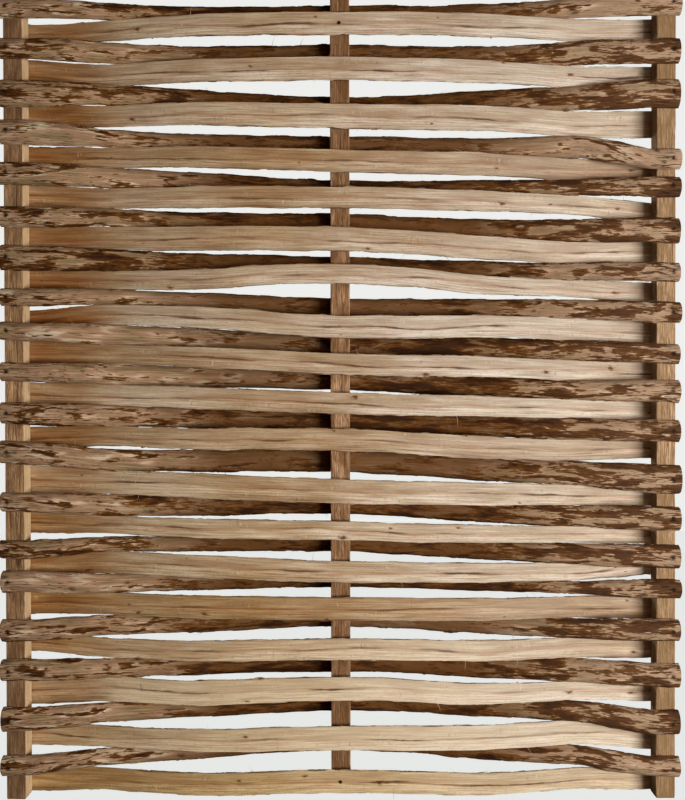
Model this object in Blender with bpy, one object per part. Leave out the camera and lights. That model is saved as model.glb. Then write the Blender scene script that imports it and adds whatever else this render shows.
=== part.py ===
# Hazel hurdle: a woven fence panel of half-round hazel rods on two sawn posts and a sawn centre upright.
# Metres, +Z up.  X runs along the panel and the front is on the -Y side.
# The bark rods pass in front of the outer posts and behind the upright, and the pale rods the other way.
# The origin is at the bottom centre of the panel.

import math

import bmesh
import bpy

# Posts and upright, sawn square
post_spacing = 1.150          # outer posts, centre to centre
post_width = 0.034            # along the panel
post_depth = 0.035            # front to back
post_edge_bevel = 0.0015
upright_width = 0.034
upright_depth = 0.035
upright_below_nail = 0.014    # how far the upright goes on below its lower nail

# Rods, split hazel
rod_thickness = 0.017         # flat face to crown
rod_overhang = 0.008          # past the outer face of the post
bend_sharpness = 3.3          # higher values leave the post sooner and lie flatter at the upright
foot_clearance = 0.002        # the posts' feet below the lowest rod
head_clearance = 0.009        # the posts' tops above the highest rod

# Nails, round wire
nail_shank_diameter = 0.0030
nail_head_diameter = 0.0066
nail_head_height = 0.0008
nail_head_dome = 0.8          # top of the head, as a share of its diameter
nail_bite = 0.022             # how far an end nail goes into its post
centre_nail_bite = 0.026      # how far a centre nail goes into the upright
nail_inset = 0.009            # nail's centre from the outer face of the post

# Fits
gap = 0.0003                  # between pieces that touch
passing_room = 0.0015         # rods are in line this far before and after they pass each other

# Fineness of the solids
nail_sides = 6
section_facets = 5            # around the bark side of a rod
inner_rings = (0.28, 0.6)     # places of the rings between the crossing and the upright

# Rods from the bottom up.  Each row gives the name, the width at the left and at the right crossing, how far
# the left end, the middle and the right end stand above the straight line through the two crossings, and how
# much wider the left and the right end are.
rods = [
    ("pale_rod_19", 0.038, 0.037, -0.006, 0.009, -0.006, 0.003, 0.003),
    ("bark_rod_19", 0.029, 0.034, -0.010, 0.014, -0.015, 0.005, -0.003),
    ("pale_rod_18", 0.037, 0.043, 0.001, 0.005, -0.014, 0.000, 0.000),
    ("bark_rod_18", 0.035, 0.035, -0.007, 0.009, -0.015, 0.005, 0.005),
    ("pale_rod_17", 0.043, 0.034, -0.009, 0.012, -0.006, 0.000, 0.001),
    ("bark_rod_17", 0.035, 0.042, 0.000, 0.006, -0.003, 0.002, -0.006),
    ("pale_rod_16", 0.034, 0.035, 0.009, 0.006, -0.005, 0.000, 0.000),
    ("bark_rod_16", 0.035, 0.035, -0.006, 0.010, 0.002, 0.000, 0.000),
    ("pale_rod_15", 0.039, 0.037, -0.002, 0.001, -0.004, 0.000, -0.002),
    ("bark_rod_15", 0.033, 0.022, 0.005, 0.005, 0.002, -0.001, 0.011),
    ("pale_rod_14", 0.039, 0.031, -0.009, -0.002, 0.012, 0.000, 0.000),
    ("bark_rod_14", 0.026, 0.036, -0.010, 0.006, 0.001, 0.006, -0.001),
    ("pale_rod_13", 0.032, 0.029, -0.001, 0.002, -0.002, 0.003, 0.000),
    ("bark_rod_13", 0.038, 0.037, 0.003, 0.010, 0.001, -0.007, 0.002),
    ("pale_rod_12", 0.042, 0.037, -0.002, -0.002, 0.002, 0.003, 0.000),
    ("bark_rod_12", 0.038, 0.042, 0.009, 0.008, -0.005, 0.001, 0.003),
    ("pale_rod_11", 0.035, 0.037, -0.009, 0.007, 0.008, 0.001, -0.002),
    ("bark_rod_11", 0.037, 0.037, 0.000, 0.001, 0.002, -0.002, -0.002),
    ("pale_rod_10", 0.036, 0.034, -0.002, -0.002, -0.001, 0.001, 0.000),
    ("bark_rod_10", 0.037, 0.034, -0.002, 0.005, 0.003, -0.008, 0.003),
    ("pale_rod_09", 0.034, 0.035, -0.001, -0.004, 0.002, 0.004, 0.001),
    ("bark_rod_09", 0.035, 0.035, -0.001, -0.004, -0.001, -0.006, -0.004),
    ("pale_rod_08", 0.035, 0.038, -0.015, -0.010, 0.002, 0.000, 0.000),
    ("bark_rod_08", 0.027, 0.033, -0.006, -0.004, -0.003, 0.003, -0.002),
    ("pale_rod_07", 0.033, 0.030, 0.000, 0.015, -0.002, 0.002, 0.002),
    ("bark_rod_07", 0.036, 0.030, -0.003, 0.003, 0.000, 0.003, 0.002),
    ("pale_rod_06", 0.041, 0.038, -0.004, 0.006, 0.010, 0.001, -0.001),
    ("bark_rod_06", 0.031, 0.038, -0.007, 0.006, 0.002, 0.004, 0.000),
    ("pale_rod_05", 0.036, 0.033, 0.006, 0.001, -0.009, 0.004, 0.000),
    ("bark_rod_05", 0.036, 0.027, 0.000, -0.006, 0.000, -0.002, 0.007),
    ("pale_rod_04", 0.035, 0.038, 0.001, -0.003, 0.008, 0.002, 0.000),
    ("bark_rod_04", 0.031, 0.039, 0.004, 0.002, -0.023, 0.013, -0.009),
    ("pale_rod_03", 0.037, 0.043, 0.005, -0.003, 0.005, 0.002, 0.001),
    ("bark_rod_03", 0.035, 0.042, -0.004, -0.011, 0.004, 0.011, 0.003),
    ("pale_rod_02", 0.038, 0.037, 0.011, 0.002, 0.004, 0.000, 0.000),
    ("bark_rod_02", 0.037, 0.040, 0.001, 0.007, -0.001, -0.003, -0.001),
    ("pale_rod_01", 0.035, 0.038, -0.002, 0.000, 0.006, 0.000, 0.000),
    ("bark_rod_01", 0.029, 0.034, 0.000, 0.004, -0.001, 0.004, 0.000),
]

# Loose places in the stack: daylight above a rod at its left and right crossing.  The smaller one isn't
# zero, because the gap goes on narrowing a little past its crossing.
daylight_above = {
    "pale_rod_19": (0.010, 0.009),
    "pale_rod_18": (0.009, 0.001),
    "pale_rod_16": (0.007, 0.001),
    "pale_rod_15": (0.001, 0.007),
    "bark_rod_14": (0.005, 0.001),
    "bark_rod_12": (0.005, 0.001),
    "bark_rod_08": (0.001, 0.005),
    "bark_rod_06": (0.001, 0.010),
    "bark_rod_04": (0.007, 0.001),
    "bark_rod_02": (0.005, 0.004),
}

# Colour, roughness and metallic value of each finish
bark_finish = ((0.16, 0.07, 0.035, 1.0), 0.75, 0.0)
split_finish = ((0.62, 0.47, 0.31, 1.0), 0.7, 0.0)
post_finish = ((0.36, 0.22, 0.13, 1.0), 0.8, 0.0)
nail_finish = ((0.10, 0.085, 0.075, 1.0), 0.45, 0.9)

# Places along the panel that the pieces share
post_x = post_spacing / 2
post_inner = post_x - post_width / 2
post_outer = post_x + post_width / 2
rod_end = post_outer + rod_overhang
upright_half = upright_width / 2
nail_x = post_outer - nail_inset

# A bark rod's flat face at the post and at the upright; a pale rod's is the mirror image
flat_at_post = -(post_depth / 2 + gap)
flat_at_upright = upright_depth / 2 + gap + rod_thickness


def bend(along):
    """How far a rod has swung from its post side (0) to its upright side (1), for along in 0..1."""
    return 1 - (1 - along) ** bend_sharpness * (1 + bend_sharpness * along)


def where_bent(share):
    """The place along a half rod where bend() reaches this share, found by halving."""
    low, high = 0.0, 1.0
    for _ in range(40):
        middle = (low + high) / 2
        if bend(middle) < share:
            low = middle
        else:
            high = middle
    return (low + high) / 2


def x_at(along):
    """Distance from the middle of the panel for a place along a half rod."""
    return post_inner - along * (post_inner - upright_half)


# Bark and pale rods pass each other between these two places along a half rod
swing = flat_at_upright - flat_at_post
crossing_start = where_bent((-flat_at_post - passing_room) / swing)
crossing_end = where_bent((rod_thickness - flat_at_post + passing_room) / swing)
crossing_x = x_at((crossing_start + crossing_end) / 2)


def smooth_step(value):
    clamped = min(max(value, 0.0), 1.0)
    return clamped * clamped * (3 - 2 * clamped)


def half_stations():
    """Places along a half rod where it gets a ring, from the post inwards."""
    inner = [crossing_end + share * (1 - crossing_end) for share in inner_rings]
    return [0.0, crossing_start / 2, crossing_start, crossing_end, *inner, 1.0]


def rod_stations():
    """Every ring of a rod from left to right: x, and the place along its half rod."""
    right = [(x_at(along), along) for along in reversed(half_stations())] + [(rod_end, 0.0)]
    left = [(-x, along) for x, along in reversed(right)]
    return left + right


def rod_levels():
    """Middle heights of each rod at the left and right crossing, stacked from the bottom up."""
    levels = {}
    low_left = low_right = 0.0
    for name, width_left, width_right, *_ in rods:
        levels[name] = (low_left + width_left / 2, low_right + width_right / 2)
        daylight_left, daylight_right = daylight_above.get(name, (0.0, 0.0))
        low_left += width_left + gap + daylight_left
        low_right += width_right + gap + daylight_right
    return levels


def between_crossings(left, right, x):
    """A value that runs straight through its left and right crossing."""
    return left + (right - left) * (x + crossing_x) / (2 * crossing_x)


def rod_rings(row, levels):
    """Rings of a rod: x, y of the flat face, height of the middle, width."""
    name, width_left, width_right, left_end, middle, right_end, left_wider, right_wider = row
    side = -1 if name.startswith("pale") else 1
    rings = []
    for x, along in rod_stations():
        end_offset, end_wider = (left_end, left_wider) if x < 0 else (right_end, right_wider)
        outward = smooth_step((crossing_start - along) / crossing_start)
        inward = smooth_step((along - crossing_end) / (1 - crossing_end))
        height = between_crossings(*levels[name], x) + end_offset * outward + middle * inward
        width = between_crossings(width_left, width_right, x) + end_wider * outward
        flat_y = side * (flat_at_post + swing * bend(along))
        rings.append((x, flat_y, height, width))
    return rings


def height_at(rings, x):
    """A rod's middle height at x, between the two rings on either side."""
    for first, second in zip(rings, rings[1:]):
        if first[0] <= x <= second[0]:
            share = (x - first[0]) / (second[0] - first[0])
            return first[2] + (second[2] - first[2]) * share
    return rings[-1][2]


def new_object(name, mesh_builder, finish):
    """Makes an object from a bmesh and gives it its own material."""
    mesh = bpy.data.meshes.new(name)
    bmesh.ops.recalc_face_normals(mesh_builder, faces=mesh_builder.faces)
    mesh_builder.to_mesh(mesh)
    mesh_builder.free()
    piece = bpy.data.objects.new(name, mesh)
    bpy.context.scene.collection.objects.link(piece)
    if finish:
        colour, roughness, metallic = finish
        material = bpy.data.materials.new(name)
        material.use_nodes = True
        shader = material.node_tree.nodes["Principled BSDF"]
        shader.inputs["Base Color"].default_value = colour
        shader.inputs["Roughness"].default_value = roughness
        shader.inputs["Metallic"].default_value = metallic
        mesh.materials.append(material)
    return piece


def combine(piece, operation, tool):
    """Joins a tool to a piece, or cuts it from the piece, and keeps the tool out of the model."""
    tool.hide_render = True
    tool.display_type = "WIRE"
    tool.parent = piece
    modifier = piece.modifiers.new(tool.name, "BOOLEAN")
    modifier.operation = operation
    modifier.solver = "EXACT"
    modifier.object = tool


def add_turned(builder, x, height, stations):
    """Adds a closed faceted solid whose axis runs along Y, from (y, radius) stations."""
    rings = []
    for y, radius in stations:
        ring = []
        for corner in range(nail_sides):
            turn = 2 * math.pi * (corner + 0.5) / nail_sides
            ring.append(builder.verts.new((x + radius * math.cos(turn), y, height + radius * math.sin(turn))))
        rings.append(ring)
    for first, second in zip(rings, rings[1:]):
        for corner in range(nail_sides):
            after = (corner + 1) % nail_sides
            builder.faces.new((first[corner], first[after], second[after], second[corner]))
    builder.faces.new(rings[0])
    builder.faces.new(rings[-1])


def add_nail(builder, x, height, top_y, under_y, tip_y):
    """Adds a nail along Y, from the top of its head past the head's underside to its tip."""
    shank = nail_shank_diameter / 2
    head = nail_head_diameter / 2
    add_turned(builder, x, height, [
        (top_y, head * nail_head_dome),
        (under_y, head),
        (under_y, shank),
        (tip_y, shank),
    ])


def add_pilot_hole(builder, x, height, from_y, to_y):
    """Adds the cutter for a nail's hole, with the fit's gap all round."""
    radius = nail_shank_diameter / 2 + gap / math.cos(math.pi / nail_sides)
    add_turned(builder, x, height, [(from_y, radius), (to_y, radius)])


def make_rod(row, rings):
    """One split rod: a flat face and a faceted half-round bark side, swept through its rings."""
    name = row[0]
    side = -1 if name.startswith("pale") else 1
    crown = math.sin(math.pi * (section_facets // 2) / section_facets)
    builder = bmesh.new()
    loops = []
    for x, flat_y, height, width in rings:
        loop = []
        for corner in range(section_facets + 1):
            turn = math.pi * corner / section_facets
            y = flat_y - side * rod_thickness * math.sin(turn) / crown
            loop.append(builder.verts.new((x, y, height + width / 2 * math.cos(turn))))
        loops.append(loop)
    corners = len(loops[0])
    for first, second in zip(loops, loops[1:]):
        for corner in range(corners):
            after = (corner + 1) % corners
            builder.faces.new((first[corner], first[after], second[after], second[corner]))
    builder.faces.new(loops[0])
    builder.faces.new(loops[-1])
    rod = new_object(name, builder, split_finish if side < 0 else bark_finish)

    nails = bmesh.new()
    crown_y = side * (flat_at_post - rod_thickness)
    top_y = crown_y - side * nail_head_height
    under_y = crown_y + side * nail_head_height
    tip_y = side * (nail_bite - post_depth / 2)
    for x in (-nail_x, nail_x):
        add_nail(nails, x, height_at(rings, x), top_y, under_y, tip_y)
    combine(rod, "UNION", new_object(name + "_nails", nails, None))
    return rod


def make_sawn(name, x, width, depth, bottom, top):
    """A sawn post with its edges just broken."""
    builder = bmesh.new()
    bmesh.ops.create_cube(builder, size=1.0)
    for vertex in builder.verts:
        vertex.co.x = x + vertex.co.x * width
        vertex.co.y = vertex.co.y * depth
        vertex.co.z = (bottom + top) / 2 + vertex.co.z * (top - bottom)
    post = new_object(name, builder, post_finish)
    bevel = post.modifiers.new("broken edges", "BEVEL")
    bevel.width = post_edge_bevel
    bevel.segments = 1
    return post


def drill_post(post, x, all_rings):
    """Blind pilot holes for the end nails, from the front for bark rods and from the back for pale rods."""
    holes = bmesh.new()
    for name, rings in all_rings.items():
        side = 1 if name.startswith("pale") else -1
        face_y = side * post_depth / 2
        height = height_at(rings, x)
        add_pilot_hole(holes, x, height, face_y + side * rod_thickness, face_y - side * (nail_bite + gap))
    combine(post, "DIFFERENCE", new_object(post.name + "_holes", holes, None))


def nail_to_upright(rod, upright, rings, nail_name):
    """Nails a pale rod to the front of the upright, through a hole in the rod."""
    height = height_at(rings, 0.0)
    front_y = -flat_at_upright
    upright_front = -upright_depth / 2
    through = bmesh.new()
    add_pilot_hole(through, 0.0, height, front_y - rod_thickness, upright_front + rod_thickness / 2)
    combine(rod, "DIFFERENCE", new_object(nail_name + "_rod_hole", through, None))
    blind = bmesh.new()
    add_pilot_hole(blind, 0.0, height, front_y, upright_front + centre_nail_bite + gap)
    combine(upright, "DIFFERENCE", new_object(nail_name + "_upright_hole", blind, None))
    nail = bmesh.new()
    under_y = front_y - gap
    add_nail(nail, 0.0, height, under_y - nail_head_height, under_y, upright_front + centre_nail_bite)
    new_object(nail_name, nail, nail_finish)


def main():
    for item in list(bpy.data.objects):
        bpy.data.objects.remove(item, do_unlink=True)

    levels = rod_levels()
    all_rings = {row[0]: rod_rings(row, levels) for row in rods}
    lowest = min(ring[2] - ring[3] / 2 for rings in all_rings.values() for ring in rings)
    lift = foot_clearance - lowest
    for name, rings in all_rings.items():
        all_rings[name] = [(x, flat_y, height + lift, width) for x, flat_y, height, width in rings]
    highest = max(ring[2] + ring[3] / 2 for rings in all_rings.values() for ring in rings)
    post_top = highest + head_clearance

    made = {row[0]: make_rod(row, all_rings[row[0]]) for row in rods}
    lowest_name = rods[0][0]
    highest_name = next(row[0] for row in reversed(rods) if row[0].startswith("pale"))

    for name, x in (("left_post", -post_x), ("right_post", post_x)):
        post = make_sawn(name, x, post_width, post_depth, 0.0, post_top)
        drill_post(post, math.copysign(nail_x, x), all_rings)

    upright_foot = height_at(all_rings[lowest_name], 0.0) - upright_below_nail
    upright = make_sawn("centre_upright", 0.0, upright_width, upright_depth, upright_foot, post_top)
    for name, nail_name in ((lowest_name, "centre_nail_bottom"), (highest_name, "centre_nail_top")):
        nail_to_upright(made[name], upright, all_rings[name], nail_name)


main()
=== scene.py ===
# Looks of a hazel hurdle: split rods woven round a sawn upright and nailed to two sawn posts.
# The shapes are read from the frame, so every piece follows the solid that it stands for.

import math

import bpy
import numpy as np
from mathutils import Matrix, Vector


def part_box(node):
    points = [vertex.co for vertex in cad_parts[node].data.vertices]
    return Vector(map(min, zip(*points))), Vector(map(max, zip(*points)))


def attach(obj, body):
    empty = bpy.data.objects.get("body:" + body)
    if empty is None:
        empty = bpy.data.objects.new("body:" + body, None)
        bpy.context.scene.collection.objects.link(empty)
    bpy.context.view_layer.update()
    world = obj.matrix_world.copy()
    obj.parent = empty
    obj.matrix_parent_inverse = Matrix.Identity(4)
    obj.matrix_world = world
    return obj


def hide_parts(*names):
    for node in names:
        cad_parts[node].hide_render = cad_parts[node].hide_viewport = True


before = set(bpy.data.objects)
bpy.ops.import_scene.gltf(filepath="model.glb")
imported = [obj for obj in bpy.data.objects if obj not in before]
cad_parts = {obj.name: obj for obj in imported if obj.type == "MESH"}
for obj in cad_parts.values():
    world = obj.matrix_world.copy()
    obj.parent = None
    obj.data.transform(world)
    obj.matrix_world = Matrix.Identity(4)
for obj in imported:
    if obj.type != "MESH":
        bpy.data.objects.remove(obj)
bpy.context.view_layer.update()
print("frame loaded:", len(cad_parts), "nodes")


# Helpers

def linearColour(code):
    # sRGB hex to the linear values that Blender's sockets hold
    channels = []
    for start in (0, 2, 4):
        value = int(code[start:start + 2], 16) / 255
        channels.append(value / 12.92 if value <= 0.04045 else ((value + 0.055) / 1.055) ** 2.4)
    return (*channels, 1.0)


def nodeAdder(tree):
    # Gives back a function that adds a node to the tree, sets it up, feeds its inputs and gives back its
    # outputs.  Inputs are values, sockets or another node's outputs, in order or in a dictionary by name.
    # Where a node has operations, the operation's name comes before them.
    def add(kind, *inputs, stops=(), **settings):
        families = ("ShaderNode", "FunctionNode", "GeometryNode", "")
        family = next(family for family in families if hasattr(bpy.types, family + kind))
        node = tree.nodes.new(family + kind)
        if hasattr(node, "operation"):
            node.operation, *inputs = inputs
        for name, value in settings.items():
            setattr(node, name, value)
        for index, (place, code) in enumerate(stops):
            ramp = node.color_ramp.elements
            stop = ramp[index] if index < 2 else ramp.new(place)
            stop.position = place
            stop.color = linearColour(code)
        named = inputs[0] if inputs and isinstance(inputs[0], dict) else dict(enumerate(inputs))
        for key, value in named.items():
            if isinstance(value, bpy.types.bpy_prop_collection):
                value = value[0]
            if isinstance(value, bpy.types.NodeSocket):
                tree.links.new(value, node.inputs[key])
            else:
                node.inputs[key].default_value = value
        return node.outputs
    return add


def newSurface(name):
    # An empty material, and the function that adds its nodes
    surface = bpy.data.materials.new(name)
    surface.use_nodes = True
    surface.node_tree.nodes.clear()
    return surface, nodeAdder(surface.node_tree)


def newShapeTree(name, startValues):
    # An empty Geometry Nodes tree with named inputs, whose kind follows from their start values
    tree = bpy.data.node_groups.new(name, "GeometryNodeTree")
    for way in ("INPUT", "OUTPUT"):
        tree.interface.new_socket("Geometry", in_out=way, socket_type="NodeSocketGeometry")
    kinds = {int: "Int", float: "Float", tuple: "Vector", type(None): "Material"}
    for label, value in startValues.items():
        kind = "NodeSocket" + kinds[type(value)]
        socket = tree.interface.new_socket(label, in_out="INPUT", socket_type=kind)
        if value is not None:
            socket.default_value = value
    add = nodeAdder(tree)
    return tree, add, add("NodeGroupInput")


def grow(name, guide, tree, values, sharpAngle):
    # Runs a tree on a guide mesh and keeps the result as a plain mesh object
    holder = bpy.data.objects.new(name + "Guide", guide)
    bpy.context.scene.collection.objects.link(holder)
    modifier = holder.modifiers.new(tree.name, "NODES")
    modifier.node_group = tree
    for item in tree.interface.items_tree:
        if item.item_type == "SOCKET" and item.in_out == "INPUT" and item.name in values:
            modifier[item.identifier] = values[item.name]
    depsgraph = bpy.context.evaluated_depsgraph_get()
    mesh = bpy.data.meshes.new_from_object(holder.evaluated_get(depsgraph), depsgraph=depsgraph)
    holder.modifiers.remove(modifier)
    bpy.data.objects.remove(holder)
    mesh.name = name
    mesh.set_sharp_from_angle(angle=math.radians(sharpAngle))
    piece = bpy.data.objects.new(name, mesh)
    bpy.context.scene.collection.objects.link(piece)
    return piece


def guideMesh(name, points, **values):
    # A mesh of bare points, with one number per point in each named attribute
    mesh = bpy.data.meshes.new(name)
    mesh.from_pydata([tuple(point) for point in points], [], [])
    for label, numbers in values.items():
        attribute = mesh.attributes.new(label, "FLOAT", "POINT")
        attribute.data.foreach_set("value", np.asarray(numbers, dtype=np.float32))
    return mesh


def smoothThrough(knots, values, places):
    # A curve through the knots that bends smoothly and never overshoots between them
    steps = np.diff(knots)
    slopes = np.diff(values) / steps
    tangents = np.zeros(len(knots))
    for index in range(1, len(knots) - 1):
        before, after = slopes[index - 1], slopes[index]
        if before * after > 0:
            first = 2 * steps[index] + steps[index - 1]
            second = steps[index] + 2 * steps[index - 1]
            tangents[index] = (first + second) / (first / before + second / after)
    span = np.clip(np.searchsorted(knots, places) - 1, 0, len(steps) - 1)
    share = np.clip((places - knots[span]) / steps[span], 0, 1)
    low, high = values[span], values[span + 1]
    bendLow = tangents[span] * steps[span]
    bendHigh = tangents[span + 1] * steps[span]
    return (low * (1 + 2 * share) * (1 - share) ** 2 + bendLow * share * (1 - share) ** 2
            + high * share ** 2 * (3 - 2 * share) - bendHigh * share ** 2 * (1 - share))


# Patterns of the wood, shared by the pieces' shapes and their materials.  On a rod, grain is a place on
# the straightened rod in metres: along it, up across the split face, and in from that face to the bark.

def inCells(add, place, size):
    # A place counted in cells of that size along each axis
    return add("VectorMath", "MULTIPLY", place, [1 / length for length in size])


def stretchedNoise(add, place, size, detail=3.0, roughness=0.5, distortion=0.0):
    # Streaks and blotches that measure size, in metres, along each axis of place
    return add("TexNoise", {
        "Vector": inCells(add, place, size), "Scale": 1.0, "Detail": detail, "Roughness": roughness,
        "Distortion": distortion})


barkPattern = dict(
    patchSize=(0.075, 0.014, 0.015),     # islands of bark run along the rod
    raggedSize=(0.017, 0.0024, 0.0032),  # their torn edges
    raggedShare=0.42,
    levels=(0.69, 0.31),                 # noise above which bark is on, for a bare and a covered rod
    edgeWidth=0.014,
)


def barkLeft(add, grain, cover):
    # Where bark is still on (1) or peeled off (0), and how far inside an island a place is
    patch = stretchedNoise(add, grain, barkPattern["patchSize"], 3.0, 0.55, 0.5)
    ragged = stretchedNoise(add, grain, barkPattern["raggedSize"], 2.0, 0.6)
    share = barkPattern["raggedShare"]
    height = add("Math", "MULTIPLY_ADD", ragged, share, patch)
    level = add("MapRange", cover, 0.0, 1.0, *(noise + 0.5 * share for noise in barkPattern["levels"]))
    inside = add("Math", "SUBTRACT", height, level)
    mask = add("MapRange", inside, -barkPattern["edgeWidth"], barkPattern["edgeWidth"])
    return mask, inside


pithPattern = dict(
    centre=-0.0012,          # a little below the middle of the split face
    waver=0.0110,
    waverLength=0.20,
    halfWidth=0.0008,
    swell=(0.5, 1.9),        # the line thins and thickens by these factors
    swellLength=0.030,
    fade=(0.5, 2.2),         # half widths from its middle at which it starts to fade and is gone
    breakLength=0.13,
    breaks=(0.44, 0.62),     # noise at which it is faintest and strongest
    faintest=0.04,
)


def pithLine(add, grain):
    # The thin dark pith along the split face, 1 on the line and 0 away from it, and the height above it
    parts = add("SeparateXYZ", grain)
    alongOnly = add("CombineXYZ", parts[0], 0.37, 0.11)
    middle, waver, half = pithPattern["centre"], pithPattern["waver"], pithPattern["halfWidth"]
    wander = stretchedNoise(add, alongOnly, [pithPattern["waverLength"]] * 3, 4.0)
    centre = add("MapRange", wander, 0.0, 1.0, middle - waver, middle + waver)
    above = add("Math", "SUBTRACT", parts[1], centre)
    away = add("Math", "ABSOLUTE", above)
    strength = stretchedNoise(add, alongOnly, [pithPattern["breakLength"]] * 3, 2.0)
    strength = add("MapRange", strength, *pithPattern["breaks"], pithPattern["faintest"], 1.0)
    thickness = stretchedNoise(add, alongOnly, [pithPattern["swellLength"]] * 3, 2.0)
    thickness = add("MapRange", thickness, 0.35, 0.65, *(half * share for share in pithPattern["swell"]))
    away = add("Math", "DIVIDE", away, thickness)
    line = add("MapRange", away, *pithPattern["fade"], 1.0, 0.0)
    return add("Math", "MULTIPLY", line, strength), above


knotPattern = dict(
    spacing=(0.112, 0.052, 1.0),
    dots=0.55,               # share of the knots that are only dots
    sizes=(0.020, 0.15),     # shares of the spacing that a dot and the largest knot's swirl take
    raggedSize=(0.0070, 0.0030, 0.0030),
)


def knotSpot(add, grain):
    # Scattered knots, from dots to eyes: 1 at the middle of a knot, falling to 0 around it
    cells = inCells(add, grain, knotPattern["spacing"])
    cell = add("TexVoronoi", {"Vector": cells, "Scale": 1.0}, voronoi_dimensions="2D")
    chance = add("SeparateXYZ", cell[1])[0]
    size = add("MapRange", chance, knotPattern["dots"], 1.0, *knotPattern["sizes"])
    ragged = stretchedNoise(add, grain, knotPattern["raggedSize"], 2.0)
    ragged = add("MapRange", ragged, 0.35, 0.65, 0.6, 1.6)
    away = add("Math", "MULTIPLY", cell[0], ragged)
    away = add("Math", "DIVIDE", away, size)
    return add("MapRange", away, 0.0, 1.0, 1.0, 0.0, interpolation_type="SMOOTHSTEP")


# Materials

def layColours(add, colour, layers):
    # Lays colours over one another in turn, each given as its share, its hex or socket, and maybe its mode
    for share, over, *mode in layers:
        over = linearColour(over) if isinstance(over, str) else over
        mode = mode[0] if mode else "MIX"
        colour = add("Mix", {0: share, 6: colour, 7: over}, data_type="RGBA", blend_type=mode)[2]
    return colour


def finishWood(add, colour, relief, look):
    # Ends a wood's material: its shader with the fine relief, and the constants on the shader's own sockets
    bump = add("Bump", {"Strength": look["bump"], "Distance": look["bumpHeight"], "Height": relief})
    shader = add("BsdfPrincipled", {
        "Base Color": colour, "Normal": bump, "Roughness": look["roughness"], "IOR": 1.45,
        "Specular IOR Level": look["specular"]})
    add("OutputMaterial", shader)


barkLook = dict(
    streakSize=(0.060, 0.0026, 0.0030),
    bast=((0.30, "5E422E"), (0.70, "E6D2B4"), (0.43, "94765C"), (0.56, "BEA284")),
    blushSize=(0.075, 0.016, 0.016),
    blush=((0.34, "8C7C54"), (0.63, "FFF2D4"), (0.43, "A68866"), (0.54, "C0977E")),
    blushShare=0.55,
    middle=0.01,
    dullShadeFrom=(0.22, 0.40),       # distances from the middle: painted shade and duller brown inside the first, none past the second
    greyFrom=(0.30, 0.50),       # and to the right: warm up to the first, greyer past the second
    flakeSize=(0.050, 0.0065, 0.0065),
    bark=((0.26, "8A5C2C"), (0.98, "361B0A"), (0.48, "6E451C"), (0.68, "533212")),
    fissureSize=(0.020, 0.0017, 0.0022),
    roughness=0.8,
    specular=0.2,
    bump=0.8,
    bumpHeight=0.0014,
)


def makeHazelBark():
    # Hazel bark, torn and peeled by hand: thin warm brown bark with hardly any gloss in ragged islands, and
    # the tan bast under it, streaked along the rod and paler where it tore.  It dried in cream, pink or
    # olive near the ends, and it is greyer at the right of the panel.  Towards the middle of the panel the
    # bast is painted a duller brown, partly its own browner colour and partly painted shade behind the pale
    # rods.
    surface, add = newSurface("hazelBark")
    grain = add("Attribute", attribute_name="grain")[1]
    cover, nailed, ownTint, nearEnds = (
        add("Attribute", attribute_name=name)[2] for name in ("cover", "nailed", "ownTint", "nearEnds"))
    mask, inside = barkLeft(add, grain, cover)

    streaks = stretchedNoise(add, grain, barkLook["streakSize"], 4.0, 0.6)
    bast = add("ValToRGB", streaks, stops=barkLook["bast"])
    blush = stretchedNoise(add, grain, barkLook["blushSize"], 2.0)
    tint = add("ValToRGB", blush, stops=barkLook["blush"])
    rim = add("MapRange", inside, -0.055, -0.012, 0.0, 0.5)
    across = add("SeparateXYZ", add("TexCoord")[3])[0]
    # Painted shade with a browner bast: duller brown towards the middle of the panel, where the bark rods
    # lie in shade behind the pale rods.  A rod's own tint spares it some of this.
    fromMiddle = add("Math", "ABSOLUTE", add("Math", "SUBTRACT", across, barkLook["middle"]))
    dullAndShade = add("MapRange", fromMiddle, *barkLook["dullShadeFrom"], 0.94, 0.0)
    dullAndShade = add("Math", "SUBTRACT", dullAndShade, ownTint, use_clamp=True)
    greyerRight = add("MapRange", across, *barkLook["greyFrom"], 0.0, 0.45)
    bast = layColours(add, bast, [
        (barkLook["blushShare"], tint), (rim, "CBA878"), (dullAndShade, "664019"), (greyerRight, "BEA28C")])

    # Bark is thin and light brown at its torn edge and darkens inwards, in long soft flakes
    depth = add("MapRange", inside, 0.0, 0.17, 0.0, 0.55)
    flakes = stretchedNoise(add, grain, barkLook["flakeSize"], 3.0, 0.6)
    depth = add("Math", "MULTIPLY_ADD", flakes, 0.75, depth)
    bark = add("ValToRGB", depth, stops=barkLook["bark"])
    bark = layColours(add, bark, [(greyerRight, "6A4C36")])

    # Dark fissures along the rod, more of them near its dry ends
    fissures = stretchedNoise(add, grain, barkLook["fissureSize"], 3.0, 0.6)
    level = add("MapRange", nearEnds, 0.0, 1.0, 0.66, 0.56)
    fissures = add("Math", "SUBTRACT", fissures, level)
    fissures = add("MapRange", fissures, 0.0, 0.06, 0.0, 0.82)
    knot = add("Math", "MULTIPLY", knotSpot(add, grain), 0.7)
    colour = layColours(add, bast, [
        (mask, bark), (fissures, "331C0E"), (knot, "2E180B"), (nailed, "24160D")])
    relief = add("Math", "MULTIPLY_ADD", mask, 0.8, streaks)
    relief = add("Math", "MULTIPLY_ADD", fissures, -0.8, relief)
    finishWood(add, colour, relief, barkLook)
    return surface


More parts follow.
